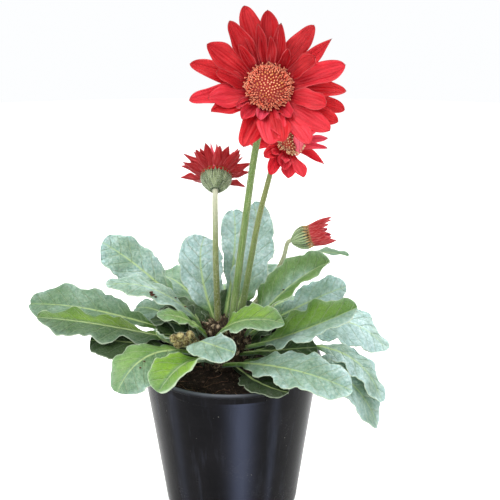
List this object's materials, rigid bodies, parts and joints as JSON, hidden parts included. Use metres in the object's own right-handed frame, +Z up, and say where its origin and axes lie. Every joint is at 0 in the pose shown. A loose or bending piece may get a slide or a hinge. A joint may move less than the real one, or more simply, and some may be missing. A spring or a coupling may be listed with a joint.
{
  "type": "potted gerbera",
  "caption": "Potted gerbera daisy: a rosette of waved, lobed leaves with red daisy heads and a bud on bare stalks, standing in a black nursery pot filled with potting mix.",
  "frame": {"origin": "centre of the pot's flat underside", "axes": "+Z up along the pot's axis, -Y towards the front, where the large flower head looks"},
  "size_m": [0.2798, 0.1961, 0.3801],
  "materials": {
    "pot_plastic": "black moulded plastic, half gloss, with dust and light scuffs",
    "potting_mix": "crumbly dark peat with reddish fibres",
    "crown_fibre": "dry brown fibres of old leaf stalks",
    "leaf_green": "softly felted leaf with pale margins and veins",
    "leaf_young": "bright young leaf, light shining through",
    "stalk_green": "ribbed green stalk with fine pale hairs",
    "petal_red": "satin red petal with fine grooves along it",
    "disc_floret": "dense small florets, orange tips over dark red gaps",
    "bud_wool": "woolly tan down"
  },
  "bodies": {
    "root": {"crown": "crown_fibre", "disc_left": "disc_floret", "disc_main": "disc_floret", "disc_rear": "disc_floret", "leaf_east_arch": "leaf_green", "leaf_east_drooping": "leaf_green", "leaf_east_long": "leaf_green", "leaf_east_lowest": "leaf_green", "leaf_east_shaded": "leaf_green", "leaf_east_short": "leaf_young", "leaf_north_centre": "leaf_green", "leaf_north_left": "leaf_green", "leaf_north_low": "leaf_green", "leaf_north_right": "leaf_green", "leaf_north_spreading": "leaf_green", "leaf_northeast_edge": "leaf_green", "leaf_northeast_low": "leaf_green", "leaf_northeast_mid": "leaf_green", "leaf_northeast_raised": "leaf_green", "leaf_northwest_drooping": "leaf_green", "leaf_northwest_low": "leaf_green", "leaf_northwest_raised": "leaf_green", "leaf_northwest_spreading": "leaf_green", "leaf_south_cup": "leaf_green", "leaf_south_small": "leaf_green", "leaf_southeast_front": "leaf_green", "leaf_southwest_bright": "leaf_young", "leaf_southwest_hanging": "leaf_green", "leaf_southwest_young": "leaf_young", "leaf_west_flat": "leaf_green", "leaf_west_front": "leaf_green", "leaf_west_inner": "leaf_green", "leaf_west_long": "leaf_green", "leaf_west_low": "leaf_green", "pot": "pot_plastic", "rays_bud": "petal_red", "rays_left": "petal_red", "rays_main": "petal_red", "rays_rear": "petal_red", "scape_bud": "stalk_green", "scape_left": "stalk_green", "scape_main": "stalk_green", "scape_rear": "stalk_green", "soil": "potting_mix", "young_buds": "bud_wool"}
  },
  "joints": []
}
